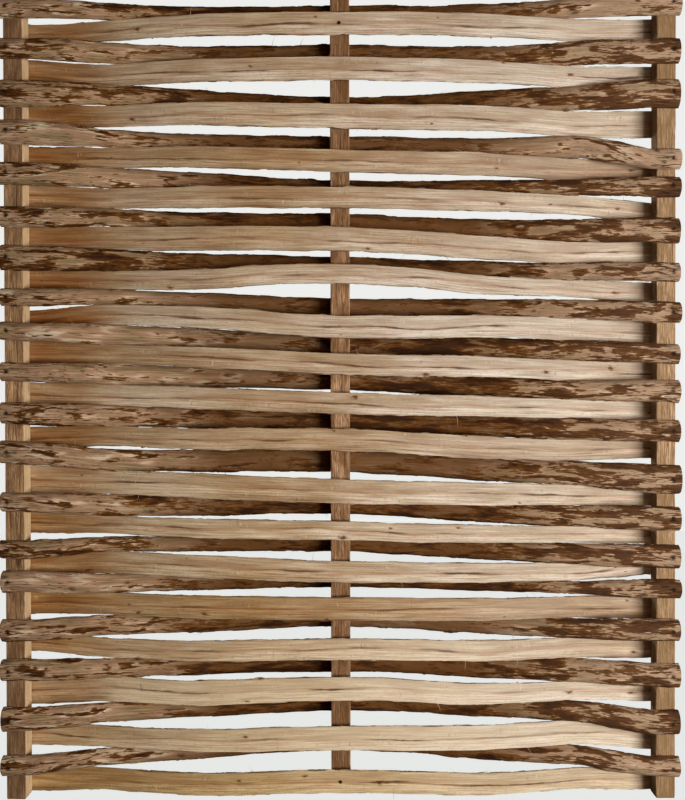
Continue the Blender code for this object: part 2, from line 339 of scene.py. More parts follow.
splitLook = dict(
    fibreSize=(0.100, 0.0022, 0.0030),
    wood=((0.35, "6E523A"), (0.63, "FFFCF6"), (0.43, "B49C84"), (0.53, "E8DED0")),
    patchSize=(0.075, 0.012, 0.012),
    patches=((0.32, "D0C8B0"), (0.68, "E2BEB0"), (0.44, "DCCEBE"), (0.56, "E8DED6")),
    patchShare=0.42,
    mottleSize=(0.0090, 0.0026, 0.0026),
    stainSize=(0.16, 0.02, 0.02),
    stainSwing=0.17,             # how far the brown comes and goes round the tone of the rod
    cutSize=(0.0030, 0.014, 0.014),
    cutZoneSize=(0.050, 0.020, 0.020),
    barkEdgeSize=(0.060, 0.010, 0.010),
    roughness=0.72,
    specular=0.35,
    bump=0.8,
    bumpHeight=0.0012,
)


def makeSplitHazel():
    # Split hazel: a raw cleft face, cream to golden or tan, with long torn fibres.  The pith is a dark
    # wandering line; above it the wood is a shade browner and below it paler.  Small knots, short cuts, and
    # here and there a sliver of bark along the edges.
    surface, add = newSurface("splitHazel")
    grain = add("Attribute", attribute_name="grain")[1]
    tone, ownTint, edge = (
        add("Attribute", attribute_name=name)[2] for name in ("tone", "ownTint", "edgeShare"))
    pith, abovePith = pithLine(add, grain)
    fibres = stretchedNoise(add, grain, splitLook["fibreSize"], 5.0, 0.66)
    wood = add("ValToRGB", fibres, stops=splitLook["wood"])
    patches = stretchedNoise(add, grain, splitLook["patchSize"], 2.0)
    tint = add("ValToRGB", patches, stops=splitLook["patches"])
    mottle = stretchedNoise(add, grain, splitLook["mottleSize"], 3.0, 0.65)
    mottle = add("MapRange", mottle, 0.54, 0.68, 0.0, 0.42)

    # The two halves either side of the pith, and the brown that comes and goes along the rod
    upper = add("MapRange", abovePith, -0.0006, 0.0012)
    upperShare = add("MapRange", patches, 0.36, 0.60, 0.12, 0.66)
    upper = add("Math", "MULTIPLY", upper, upperShare)
    band = add("Math", "ABSOLUTE", abovePith)
    band = add("MapRange", band, 0.0008, 0.0042, 0.38, 0.0)
    cloud = stretchedNoise(add, grain, splitLook["stainSize"], 3.0, 0.55)
    stain = add("MapRange", cloud, 0.35, 0.65, -splitLook["stainSwing"], splitLook["stainSwing"])
    stain = add("Math", "ADD", tone, stain, use_clamp=True)
    # Painted light: where a rod's tone falls below cream it is painted paler, mostly on the lowest rods,
    # standing in for light from the floor
    paintedLightening = add("MapRange", tone, -0.3, 0.0, 0.40, 0.0)
    # Darker brown along the lower edge of the split face, the more so where the rod is stained: partly
    # stain, partly painted shade where the bark rod below meets it
    low = add("MapRange", add("SeparateXYZ", grain)[1], -0.016, -0.006, 0.7, 0.0)
    low = add("Math", "MULTIPLY", low, stain)

    # Painted light colour: warmer and more gold to the left of the panel, standing in for warm bounce light
    # there, and cooler and greyer to the right under the neutral key light.  The rod's own gold and its
    # stain add real gold on top.
    across = add("SeparateXYZ", add("TexCoord")[3])[0]
    goldAndWarmLight = add("MapRange", across, -0.15, 0.15, 0.23, 0.0)
    goldAndWarmLight = add("Math", "MULTIPLY_ADD", ownTint, 0.40, goldAndWarmLight)
    goldAndWarmLight = add("Math", "MULTIPLY_ADD", stain, 0.6, goldAndWarmLight, use_clamp=True)
    greyerRight = add("MapRange", across, 0.12, 0.34, 0.0, 0.15)

    line = add("MapRange", tone, 0.1, 0.6, 0.9, 0.6)
    line = add("Math", "MULTIPLY", pith, line)
    knot = knotSpot(add, grain)
    halo = add("MapRange", knot, 0.0, 0.5, 0.0, 0.40)
    heart = add("MapRange", knot, 0.55, 0.85, 0.0, 0.85)

    # Short marks across the grain, pale or dark, where the cleft tore or a blade caught
    cuts = stretchedNoise(add, grain, splitLook["cutSize"], 3.0, 0.6, 0.4)
    zone = stretchedNoise(add, grain, splitLook["cutZoneSize"], 1.0)
    zone = add("MapRange", zone, 0.56, 0.70, 0.0, 0.6)
    paleCut, darkCut = (
        add("Math", "MULTIPLY", add("MapRange", cuts, *span), zone)
        for span in ((0.60, 0.70), (0.40, 0.30)))
    barkEdge = stretchedNoise(add, grain, splitLook["barkEdgeSize"], 2.0)
    barkEdge = add("Math", "MULTIPLY_ADD", barkEdge, 0.20, edge)
    barkEdge = add("MapRange", barkEdge, 1.10, 1.13, 0.0, 0.8)

    colour = layColours(add, wood, [
        (splitLook["patchShare"], tint), (mottle, "96765A"), (upper, "B29C84"), (band, "B48258"),
        (stain, "A67944", "MULTIPLY"), (paintedLightening, "FFF6E4"), (goldAndWarmLight, "FFE9AF", "MULTIPLY"),
        (greyerRight, "C2D0D2"), (low, "53331A"), (line, "4C2E16"), (halo, "A0703A"), (heart, "4A2E18"),
        (paleCut, "F4E8CE"), (darkCut, "6A4826"), (barkEdge, "5A3719")])
    relief = add("Math", "MULTIPLY_ADD", pith, -0.8, fibres)
    finishWood(add, colour, relief, splitLook)
    return surface


endLook = dict(
    ringSpacing=0.0022,
    ringShare=0.12,
    sawSize=(0.0030, 0.0030, 0.0030),
    shades=((0.25, "2E241C"), (0.8, "75604A")),
    roughness=0.82,
    specular=0.5,
    bump=0.6,
    bumpHeight=0.0008,
)


def makeEndGrain():
    # Hazel cut across with a saw: dark grey-brown half discs, with faint rings round the pith and a rough
    # face
    surface, add = newSurface("hazelEndGrain")
    grain = add("Attribute", attribute_name="grain")[1]
    parts = add("SeparateXYZ", grain)
    section = add("CombineXYZ", parts[1], parts[2])
    radius = add("VectorMath", "LENGTH", section)[1]
    turns = add("Math", "MULTIPLY", radius, 2 * math.pi / endLook["ringSpacing"])
    ring = add("Math", "SINE", turns)
    saw = stretchedNoise(add, grain, endLook["sawSize"], 4.0, 0.6)
    mixed = add("Math", "MULTIPLY_ADD", ring, endLook["ringShare"], saw)
    finishWood(add, add("ValToRGB", mixed, stops=endLook["shades"]), saw, endLook)
    return surface


spruceLook = dict(
    ribSize=(0.0030, 0.0030, 0.11),
    scoreSize=(0.0022, 0.0022, 0.020),
    scoreSlant=0.35,
    blotchSize=(0.018, 0.018, 0.050),
    knotSpacing=(0.05, 0.05, 0.12),
    middle=0.72,                 # half the panel's height
    darkerFrom=(0.10, 0.60),       # distances from there: no darkening up to the first, darkest past the second
    roughness=0.85,
    specular=0.3,
    bump=0.8,
    bumpHeight=0.0012,
)


def makeSawnSpruce(name, pale, middle, dark, dirt, side):
    # Rough sawn spruce: upright ribs of pale and dark grain about two millimetres wide, slanting saw scores
    # and small knots.  Dirt blotches and the darkening towards the ends lie on front and back only.  The
    # sides are painted a colour of their own as painted light: lit on the left post, in shade on the right
    # post, and between on the upright.
    surface, add = newSurface(name)
    place = add("TexCoord")[3]
    weathered = add("Attribute", attribute_name="weathered")[2]
    ribs = stretchedNoise(add, place, spruceLook["ribSize"], 4.0, 0.62, 0.3)
    wood = add("ValToRGB", ribs, stops=(
        (0.32, dark), (0.68, pale), (0.43, middle), (0.49, pale), (0.54, dark), (0.59, middle)))
    scores = add("VectorRotate", {0: place, 3: spruceLook["scoreSlant"]}, rotation_type="Y_AXIS")
    scores = stretchedNoise(add, scores, spruceLook["scoreSize"], 2.0)
    scores = add("MapRange", scores, 0.58, 0.68, 0.0, 0.55)
    blotch = stretchedNoise(add, place, spruceLook["blotchSize"], 3.0, 0.55)
    blotch = add("MapRange", blotch, 0.38, 0.66, 0.0, 0.75)
    blotch = add("Math", "MULTIPLY", blotch, weathered)
    # Painted light: the sides take the side colour, painted as lit on the left post and as shaded on the
    # right post
    paintedSideLight = add("MapRange", weathered, 0.0, 1.0, 0.45, 0.0)
    # Darker towards the top and bottom of the timber, on its front and back only
    fromMiddle = add("Math", "SUBTRACT", add("SeparateXYZ", place)[2], spruceLook["middle"])
    fromMiddle = add("Math", "ABSOLUTE", fromMiddle)
    darkerToEnds = add("MapRange", fromMiddle, *spruceLook["darkerFrom"], 0.0, 0.6)
    darkerToEnds = add("Math", "MULTIPLY", darkerToEnds, weathered)
    knot = add("TexVoronoi", {"Vector": inCells(add, place, spruceLook["knotSpacing"]), "Scale": 1.0})
    knot = add("MapRange", knot, 0.04, 0.15, 0.75, 0.0)
    colour = layColours(add, wood, [
        (scores, dirt), (blotch, dirt), (paintedSideLight, side), (darkerToEnds, dirt), (knot, "4A2C18")])
    relief = add("Math", "MULTIPLY_ADD", scores, -0.5, ribs)
    finishWood(add, colour, relief, spruceLook)
    return surface


def makeRustedSteel():
    # Steel wire nails left outdoors: dark metal with brown rust, in spots of a millimetre or two
    surface, add = newSurface("rustedSteel")
    rust = stretchedNoise(add, add("TexCoord")[3], [0.0016] * 3, 3.0, 0.6)
    colour = add("ValToRGB", rust, stops=((0.35, "17110D"), (0.7, "4A2A18")))
    metal = add("MapRange", rust, 0.4, 0.65, 0.8, 0.1)
    shader = add("BsdfPrincipled", {"Base Color": colour, "Metallic": metal, "Roughness": 0.55})
    add("OutputMaterial", shader)
    return surface


hazelBark = makeHazelBark()
splitHazel = makeSplitHazel()
hazelEndGrain = makeEndGrain()
rustedSteel = makeRustedSteel()
print("materials made")


# Rods

rodShape = dict(
    ringSpacing=0.0026,
    flatFacets=16,
    roundFacets=24,
    endSlack=(0.0008, 0.0045),   # rods are cut by eye, so their ends differ by this much
    rimLength=0.0012,            # broken edge round a sawn end
    rimShrink=(0, 0.5, 0.93),    # how its rings grow, as shares of the section
    core=0.42,                   # share of the thickness at which a sawn end closes
    waves=4,
    waverUp=0.0008,
    waverUpLengths=(0.10, 0.35),
    waverWidth=0.0012,
    waverWidthLengths=(0.07, 0.30),
    fuller=0.0020,               # the solid's facets cut a little off the wood's real width
    fullerEnds=0.0010,           # and a little more near the posts, where the rods flare
    flareLength=0.05,
    crossings=(0.29, 0.43),      # rods are packed tight between these distances from the middle
    pressed=0.0004,              # and press on each other there
    easing=0.04,                 # over this length they come free
    tightShare=0.2,              # share of the waver that is left where they are packed
    offGround=0.0022,
    leastRing=0.012,             # smaller loops of points in a solid belong to its nails
    barkLift=0.0009,
    lumpSize=(0.034, 0.013, 0.013),
    lumps=(-0.0011, 0.0015),     # hollows and swellings of the stem
    knotRise=0.0020,
    nailDent=0.0012,
    dentRagged=(0.0060, 0.0030, 0.0030),
    nailReach=(0.0020, 0.0066),  # distances from a nail where the dent and stain are full, and gone
    crownRelief=(0.0002, 0.0026, 0.0006),  # the most at the upright, along the rod, and at its ends
    uprightReach=(0.022, 0.060),
    endReach=(0.47, 0.52),
    nearEnds=(0.36, 0.56),       # distances from the middle between which the dry ends begin
    sideRelief=0.0050,           # the sides may stand out this much more than the crown
    fibreSize=(0.090, 0.0060, 0.0060),
    fibres=(-0.0014, 0.0001),    # torn fibres on the split face
    pithGroove=0.0007,
    cleftDepth=0.0014,           # bark torn back behind a pale rod's edges
    splinters=260.0,             # torn fibres per square metre along the edges of a split face
    splinterLength=0.017,
    splinterShares=(0.35, 1.1),  # of that length
    splinterRadii=(0.00042, 0.00010),
    splinterBow=14.0,
    splinterLean=1.45,           # radians to either side of straight out
    splinterLimits=(0.86, 0.004, 0.54),    # least share of the half width, most depth, most from the middle
    sharpAngle=50,
)

rodLook = dict(
    # Bark and tone are given at these places along a rod
    places=(-0.50, -0.35, -0.12, 0.15, 0.46),

    # How much bark the round side of each rod still has there, from the top rod down.  The photograph
    # shows it for the bark rods; the pale rods' bark faces the back and is a guess.
    barkOnRods=(
        (0.26, 0.56, 0.72, 0.56, 0.26), (0.44, 0.24, 0.58, 0.38, 0.54), (0.40, 0.54, 0.56, 0.62, 0.54),
        (0.14, 0.38, 0.46, 0.36, 0.24), (0.42, 0.24, 0.66, 0.62, 0.68), (0.30, 0.50, 0.70, 0.24, 0.60),
        (0.58, 0.72, 0.46, 0.62, 0.42), (0.36, 0.30, 0.32, 0.34, 0.46), (0.08, 0.14, 0.30, 0.80, 0.52),
        (0.26, 0.12, 0.28, 0.84, 0.38), (0.40, 0.34, 0.50, 0.78, 0.52), (0.32, 0.30, 0.38, 0.36, 0.56),
        (0.20, 0.48, 0.60, 0.60, 0.58), (0.50, 0.30, 0.58, 0.56, 0.60), (0.06, 0.28, 0.50, 1.00, 0.56),
        (0.30, 0.42, 0.54, 0.02, 0.64), (0.46, 0.34, 0.60, 0.54, 0.48), (0.34, 0.30, 0.72, 0.58, 0.68),
        (0.26, 0.28, 0.58, 0.56, 0.38),
    ),
    barkOnPaleRods=(0.50, 0.60, 0.64, 0.60, 0.50),

    # How brown the split faces are, from 0, cream, to 1, tan.  Below 0 they are painted paler, as painted
    # light, mostly on the lowest rods
    toneOfPaleRods=(
        (0.64, 0.10, 0.14, 0.12, 0.12), (0.74, 0.10, 0.18, 0.04, 0.14), (0.80, 0.14, 0.08, 0.12, 0.14),
        (0.72, 0.32, 0.46, 0.26, 0.66), (0.66, 0.12, 0.42, 0.12, 0.14), (0.66, 0.26, 0.28, 0.16, 0.16),
        (0.88, 0.24, 0.04, 0.14, 0.22), (0.94, 0.04, 0.12, -0.06, 0.20), (0.76, 0.34, 0.28, 0.10, 0.14),
        (0.52, -0.12, 0.40, 0.08, 0.12), (0.74, 0.16, 0.32, 0.24, 0.40), (0.40, -0.08, 0.36, 0.02, 0.18),
        (0.60, 0.08, 0.12, 0.06, 0.16), (0.68, 0.18, 0.20, 0.06, 0.08), (0.68, 0.36, 0.52, 0.36, 0.50),
        (0.50, 0.12, 0.02, -0.14, 0.32), (0.34, -0.26, -0.16, -0.22, 0.00),
        (0.28, -0.06, -0.14, -0.24, -0.06), (0.40, 0.22, 0.12, -0.06, 0.06),
    ),
    toneOfBarkRods=(0.35, 0.35, 0.35, 0.35, 0.35),
    goldOfPaleRods=(0.2, 0.1, 0.3, 0.4, 0.3, 0.3, 0.1, 0.0, 0.2, 0.25, 0.4, 0.45, 0.5, 0.5,
                    0.8, 0.7, 0.6, 0.7, 1.4),

    # How much of the painted shade and duller brown in the middle of the panel each bark rod is spared
    middleShadeSparedOfBarkRods=(0.0, 0.1, 0.0, 0.1, 0.1, 0.0, 0.0, 0.1, 0.3, 0.3, 0.1, 0.1, 0.1, 0.0,
                      0.0, 0.1, 0.0, 0.0, 0.0),
)


def readRod(solid):
    # The rings of a rod's solid: place along it, its split face's Y, middle height, width and thickness
    points = np.array([vertex.co for vertex in solid.data.vertices])
    alongs = np.round(points[:, 0], 5)
    rings = []
    for along in np.unique(alongs):
        ring = points[alongs == along]
        width = np.ptp(ring[:, 2])
        if width > rodShape["leastRing"]:
            middle = ring[:, 2].min() + width / 2
            splitY = ring[ring[:, 2].argmax(), 1]
            rings.append((along, splitY, middle, width, abs(ring[:, 1] - splitY).max()))
    return np.array(rings)


def waver(places, generator, size, lengths):
    # A slow waver along a rod, the sum of a few waves
    total = np.zeros(len(places))
    for _ in range(rodShape["waves"]):
        length = generator.uniform(*lengths)
        total += np.sin(places * 2 * math.pi / length + generator.uniform(0, 2 * math.pi))
    return total * size / rodShape["waves"]


def rodGuide(name, rings, generator, cover, tone):
    # The points that a rod's rings are swept through, with their width, bark and tone
    left = rings[0, 0] + generator.uniform(*rodShape["endSlack"])
    right = rings[-1, 0] - generator.uniform(*rodShape["endSlack"])
    rim, grows = rodShape["rimLength"], list(rodShape["rimShrink"])
    count = int((right - left) / rodShape["ringSpacing"])
    along = np.concatenate([[left] * 3, np.linspace(left + rim, right - rim, count), [right] * 3])
    shrink = np.concatenate([grows, np.ones(count), grows[::-1]])
    splitY, height, width = (smoothThrough(rings[:, 0], rings[:, column], along) for column in (1, 2, 3))
    inner, outer = rodShape["crossings"]
    free = np.clip(np.maximum(inner - abs(along), abs(along) - outer) / rodShape["easing"], 0, 1)
    loose = rodShape["tightShare"] + (1 - rodShape["tightShare"]) * free
    height += waver(along, generator, rodShape["waverUp"], rodShape["waverUpLengths"]) * loose
    width += waver(along, generator, rodShape["waverWidth"], rodShape["waverWidthLengths"]) * loose
    width += rodShape["pressed"] + (rodShape["fuller"] - rodShape["pressed"]) * free
    width += rodShape["fullerEnds"] * np.clip((abs(along) - outer) / rodShape["flareLength"], 0, 1)
    height = np.maximum(height, width / 2 + rodShape["offGround"])
    points = np.stack([along, splitY, height], axis=1)
    places = np.array(rodLook["places"])
    return guideMesh(name, points, ringWidth=width, ringShrink=shrink,
                     ringCover=smoothThrough(places, np.array(cover), along),
                     ringTone=smoothThrough(places, np.array(tone), along)), len(points)


def addSplinters(add, given, body, spot, grainParts, fromMiddle):
    # Thin tapered fibres that stand off the edges of the split face, in its plane
    leastEdge, mostDepth, mostAway = rodShape["splinterLimits"]
    edge = add("InputNamedAttribute", "edgeShare")
    atEdge = add("Math", "GREATER_THAN", edge, leastEdge)
    for place, limit in ((grainParts[2], mostDepth), (fromMiddle, mostAway)):
        within = add("Math", "LESS_THAN", place, limit)
        atEdge = add("Math", "MULTIPLY", atEdge, within)
    roots = add("DistributePointsOnFaces", {
        "Mesh": body, "Selection": atEdge, "Density": given["Splinters"], "Seed": given["Seed"]})
    foot, tip = rodShape["splinterRadii"]
    fibre = add("MeshCone", {
        "Vertices": 5, "Side Segments": 4, "Radius Bottom": foot, "Radius Top": tip,
        "Depth": given["Splinter Length"]})
    bow = add("Math", "POWER", add("SeparateXYZ", spot)[2], 2.0)
    bow = add("Math", "MULTIPLY", bow, rodShape["splinterBow"])
    fibre = add("SetPosition", {"Geometry": fibre, "Offset": add("CombineXYZ", bow)})
    most = rodShape["splinterLean"]
    sweep = add("RandomValue", {2: -most, 3: most, 8: given["Seed"]})[1]
    below = add("Math", "LESS_THAN", grainParts[1], 0.0)
    lean = add("Math", "MULTIPLY_ADD", below, math.pi, sweep)
    shortest, longest = rodShape["splinterShares"]
    length = add("RandomValue", {2: shortest, 3: longest, 8: 7})[1]
    splinters = add("InstanceOnPoints", {
        "Points": roots, "Instance": fibre, "Rotation": add("CombineXYZ", {1: lean}),
        "Scale": add("CombineXYZ", 1.0, 1.0, length)})
    splinters = add("RealizeInstances", splinters)
    return add("SetMaterial", {"Geometry": splinters, "Material": given["Split"]})


def makeRodTree(nailPlace):
    # Sweeps a half-round section through the guide's points, then peels, roughens and grooves it
    tree, add, given = newShapeTree("splitRod", {
        "Rings": 400, "Flat Facets": rodShape["flatFacets"], "Round Facets": rodShape["roundFacets"],
        "Thickness": 0.017, "Side": 1.0, "Seed": 0, "Nail Place": nailPlace,
        "Bark Lift": rodShape["barkLift"], "Splinters": rodShape["splinters"],
        "Splinter Length": rodShape["splinterLength"], "Own Tint": 0.3, "Cleft Depth": 0.00001,
        "Bark": None, "Split": None, "End": None})
    facets = add("Math", "ADD", given["Flat Facets"], given["Round Facets"])
    perRing = add("Math", "ADD", facets, 1.0)
    sheet = add("MeshGrid", {"Vertices X": given["Rings"], "Vertices Y": perRing})
    index = add("InputIndex")
    ring = add("Math", "FLOOR", add("Math", "DIVIDE", index, perRing))
    corner = add("Math", "SUBTRACT", index, add("Math", "MULTIPLY", ring, perRing))

    # What the guide says at this ring
    spot = add("InputPosition")
    centre = add("SampleIndex", {"Geometry": given["Geometry"], "Value": spot, "Index": ring},
                 data_type="FLOAT_VECTOR")
    here = {}
    for label in ("ringWidth", "ringShrink", "ringCover", "ringTone"):
        value = add("InputNamedAttribute", label)
        here[label] = add("SampleIndex", {"Geometry": given["Geometry"], "Value": value, "Index": ring})

    # Corners run down the flat face and back up round the bark side
    onRound = add("Math", "GREATER_THAN", corner, given["Flat Facets"])
    downShare = add("MapRange", corner, 0.0, given["Flat Facets"], 1.0, -1.0)
    turn = add("MapRange", corner, given["Flat Facets"], facets, 0.0, math.pi)
    upShare = add("Math", "MULTIPLY", add("Math", "COSINE", turn), -1.0)
    bulge = add("Math", "MULTIPLY", onRound, add("Math", "SINE", turn))
    acrossShare = add("Mix", {0: onRound, 2: downShare, 3: upShare})
    halfWidth = add("Math", "MULTIPLY", here["ringWidth"], 0.5)
    across = add("Math", "MULTIPLY", acrossShare, halfWidth)
    depth = add("Math", "MULTIPLY", bulge, given["Thickness"])

    # Sawn ends close towards a point inside the section
    across = add("Math", "MULTIPLY", across, here["ringShrink"])
    core = add("Math", "MULTIPLY", given["Thickness"], rodShape["core"])
    depth = add("Mix", {0: here["ringShrink"], 2: core, 3: depth})

    parts = add("SeparateXYZ", centre)
    outward = add("Math", "MULTIPLY", depth, given["Side"])
    placeY = add("Math", "SUBTRACT", parts[1], outward)
    placeZ = add("Math", "ADD", parts[2], across)
    place = add("CombineXYZ", parts[0], placeY, placeZ)
    shifted = add("Math", "MULTIPLY_ADD", given["Seed"], 3.7, parts[0])
    grain = add("CombineXYZ", shifted, across, depth)
    edgeShare = add("Math", "ABSOLUTE", acrossShare)
    nearEnds = add("MapRange", add("Math", "ABSOLUTE", parts[0]), *rodShape["nearEnds"])
    body = add("StoreNamedAttribute", {"Geometry": sheet, "Name": "grain", "Value": grain},
               data_type="FLOAT_VECTOR")
    for label, value in (("cover", here["ringCover"]), ("tone", here["ringTone"]), ("edgeShare", edgeShare),
                         ("nearEnds", nearEnds), ("ownTint", given["Own Tint"])):
        body = add("StoreNamedAttribute", {"Geometry": body, "Name": label, "Value": value})
    body = add("SetPosition", {"Geometry": body, "Position": place})
    body = add("MergeByDistance", {"Geometry": body, "Distance": 0.00002})
    turnedRound = add("Compare", "LESS_THAN", given["Side"], 0.0)
    body = add("FlipFaces", body, turnedRound)

    # The wood round each end nail is dented and stained
    grain = add("InputNamedAttribute", "grain", data_type="FLOAT_VECTOR")
    cover = add("InputNamedAttribute", "cover")
    grainParts = add("SeparateXYZ", grain)
    fromMiddle = add("Math", "ABSOLUTE", add("SeparateXYZ", spot)[0])
    alongAway = add("Math", "SUBTRACT", fromMiddle, given["Nail Place"])
    nailVector = add("CombineXYZ", alongAway, grainParts[1])
    nailAway = add("VectorMath", "LENGTH", nailVector)[1]
    torn = stretchedNoise(add, grain, rodShape["dentRagged"], 2.0)
    torn = add("MapRange", torn, 0.3, 0.7, 0.6, 1.7)
    nailAway = add("Math", "MULTIPLY", nailAway, torn)
    nailed = add("MapRange", nailAway, *rodShape["nailReach"], 1.0, 0.0, interpolation_type="SMOOTHSTEP")
    onBark = add("Math", "GREATER_THAN", grainParts[2], 0.0001)
    nailed = add("Math", "MULTIPLY", nailed, onBark)
    body = add("StoreNamedAttribute", {"Geometry": body, "Name": "nailed", "Value": nailed})

    # Relief on the bark side: peeled patches lie lower, the stem is lumpy, knots stand out.  Where the rod
    # presses on the upright, and at its ends, it has been squeezed or trimmed flatter.
    mask, _ = barkLeft(add, grain, cover)
    lumps = stretchedNoise(add, grain, rodShape["lumpSize"])
    barkRise = add("MapRange", lumps, 0.2, 0.8, *rodShape["lumps"])
    for share, height in ((mask, given["Bark Lift"]), (knotSpot(add, grain), rodShape["knotRise"]),
                          (nailed, -rodShape["nailDent"])):
        barkRise = add("Math", "MULTIPLY_ADD", share, height, barkRise)
    atUpright, along, atEnds = rodShape["crownRelief"]
    nearUpright = add("MapRange", fromMiddle, *rodShape["uprightReach"], atUpright, along)
    nearEnd = add("MapRange", fromMiddle, *rodShape["endReach"], along, atEnds)
    room = add("Math", "MINIMUM", nearUpright, nearEnd)
    offCrown = add("MapRange", grainParts[2], 0.0, given["Thickness"], rodShape["sideRelief"], 0.0)
    room = add("Math", "ADD", room, offCrown)
    barkRise = add("Math", "MINIMUM", barkRise, room)

    # Relief on the split face: long torn fibres, and the pith as a groove
    fibres = stretchedNoise(add, grain, rodShape["fibreSize"], 3.0, 0.55)
    splitRise = add("MapRange", fibres, 0.2, 0.8, *rodShape["fibres"])
    groove = pithLine(add, grain)[0]
    splitRise = add("Math", "MULTIPLY_ADD", groove, -rodShape["pithGroove"], splitRise)
    rise = add("Mix", {0: onBark, 2: splitRise, 3: barkRise})
    normal = add("InputNormal")
    facing = add("Math", "ABSOLUTE", add("SeparateXYZ", normal)[0])
    offEnds = add("MapRange", facing, 0.35, 0.70, 1.0, 0.0)
    rise = add("Math", "MULTIPLY", rise, offEnds)
    offset = add("VectorMath", "SCALE", {0: normal, "Scale": rise})
    body = add("SetPosition", {"Geometry": body, "Offset": offset})
    body = add("SetShadeSmooth", body)
    splinters = addSplinters(add, given, body, spot, grainParts, fromMiddle)

    # Each face gets the wood that it shows.  On a pale rod the bark tore back a little along its edges.
    onSplit = add("Compare", "LESS_THAN", grainParts[2], given["Cleft Depth"])
    sawn = add("Compare", "GREATER_THAN", facing, 0.85)
    body = add("RealizeInstances", body)
    for wood, faces in (("Bark", True), ("Split", onSplit), ("End", sawn)):
        body = add("SetMaterial", {"Geometry": body, "Selection": faces, "Material": given[wood]})
    whole = add("JoinGeometry", splinters)
    tree.links.new(body[0], whole[0].node.inputs[0])
    add("NodeGroupOutput", whole)
    return tree


def makeRods(tree):
    for number in range(1, 20):
        for kind, side in (("bark", 1.0), ("pale", -1.0)):
            name = f"{kind}_rod_{number:02d}"
            seed = number * 2 + (kind == "bark")
            rings = readRod(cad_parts[name])
            if kind == "bark":
                cover, tone = rodLook["barkOnRods"][number - 1], rodLook["toneOfBarkRods"]
                ownTint, cleft = rodLook["middleShadeSparedOfBarkRods"][number - 1], 0.00001
            else:
                cover, tone = rodLook["barkOnPaleRods"], rodLook["toneOfPaleRods"][number - 1]
                ownTint, cleft = rodLook["goldOfPaleRods"][number - 1], rodShape["cleftDepth"]
            guide, count = rodGuide(name + "Guide", rings, np.random.default_rng(seed), cover, tone)
            rod = grow(name + "_wood", guide, tree, {
                "Rings": count, "Thickness": float(np.median(rings[:, 4])), "Side": side, "Seed": seed,
                "Own Tint": ownTint, "Cleft Depth": cleft,
                "Bark": hazelBark, "Split": splitHazel, "End": hazelEndGrain,
            }, rodShape["sharpAngle"])
            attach(rod, "root")
            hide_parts(name)


# End nails

nailShape = dict(
    inset=0.009,             # from the post's outer face to the nail, as in the solids
    headRadius=0.0028,
    headHeight=0.0010,
    shankRadius=0.0014,
    tipRadius=0.0002,
    length=0.038,
    sunk=0.0008,
    sharpAngle=40,
)


def nailGuide(nailPlace):
    # One point per end nail, on the rod's crown, and which way its head looks
    points, facing = [], []
    for name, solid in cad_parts.items():
        if "_rod_" not in name:
            continue
        rings = readRod(solid)
        side = 1.0 if name.startswith("bark") else -1.0
        for end in (-nailPlace, nailPlace):
            height = np.interp(end, rings[:, 0], rings[:, 2])
            crown = np.interp(end, rings[:, 0], rings[:, 1]) - side * float(np.median(rings[:, 4]))
            points.append((end, crown, height))
            facing.append(side)
    return guideMesh("nailGuide", points, facing=facing)


def makeNailTree():
    # A wire nail with a domed head, once on each point
    tree, add, given = newShapeTree("endNails", {
        "Head Radius": nailShape["headRadius"], "Head Height": nailShape["headHeight"],
        "Shank Radius": nailShape["shankRadius"], "Tip Radius": nailShape["tipRadius"],
        "Length": nailShape["length"], "Sunk": nailShape["sunk"], "Steel": None})
    head = add("MeshUVSphere", {"Segments": 12, "Rings": 6})
    headSize = add("CombineXYZ", given["Head Radius"], given["Head Radius"], given["Head Height"])
    head = add("Transform", {"Geometry": head, "Scale": headSize})
    shank = add("MeshCone", {
        "Vertices": 8, "Radius Top": given["Shank Radius"], "Radius Bottom": given["Tip Radius"],
        "Depth": given["Length"]})
    drop = add("Math", "MULTIPLY", given["Length"], -1.0)
    shank = add("Transform", {"Geometry": shank, "Translation": add("CombineXYZ", {2: drop})})
    nail = add("JoinGeometry", head)
    tree.links.new(shank[0], nail[0].node.inputs[0])
    drop = add("Math", "MULTIPLY", add("Math", "ADD", given["Sunk"], given["Head Height"]), -1.0)
    nail = add("Transform", {"Geometry": nail, "Translation": add("CombineXYZ", {2: drop})})
    turn = add("Math", "MULTIPLY", add("InputNamedAttribute", "facing"), math.pi / 2)
    nails = add("InstanceOnPoints", {
        "Points": given["Geometry"], "Instance": nail, "Rotation": add("CombineXYZ", turn)})
    nails = add("RealizeInstances", nails)
    nails = add("SetShadeSmooth", nails)
    nails = add("SetMaterial", {"Geometry": nails, "Material": given["Steel"]})
    add("NodeGroupOutput", nails)
    return tree


def makeNails(nailPlace):
    steel = {"Steel": rustedSteel}
    nails = grow("end_nails", nailGuide(nailPlace), makeNailTree(), steel, nailShape["sharpAngle"])
    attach(nails, "root")
    for node in ("centre_nail_top", "centre_nail_bottom"):
        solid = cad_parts[node]
        solid.data.materials.clear()
        solid.data.materials.append(rustedSteel)


# Posts and upright

sawnStock = dict(
    acrossCells=9,
    upSpacing=0.0034,
    crowding=1.7,            # cells are narrower towards the edges, where the wear is
    edgeWear=0.0011,
    chipSize=(0.012, 0.012, 0.022),
    sawMarks=0.0005,
    sawSize=(0.040, 0.040, 0.0060),
    checkDepth=0.0011,       # drying cracks along the grain
    checkSize=(0.0060, 0.0060, 0.19),
    sharpAngle=32,
)

# Pale, middle and dark grain, the dirt on it, and the painted light on the sides: lit on the left post, in
# shade on the right post
postFinishes = dict(
    left_post=("E8C496", "AA825A", "5E402A", "6A4C34", "FFE6BC"),
    right_post=("E0C4A0", "B08E6A", "6A4A2E", "846846", "3C1E0C"),
    centre_upright=("E2BC98", "AC8058", "5E3E24", "66421F", "C89A6C"),
)


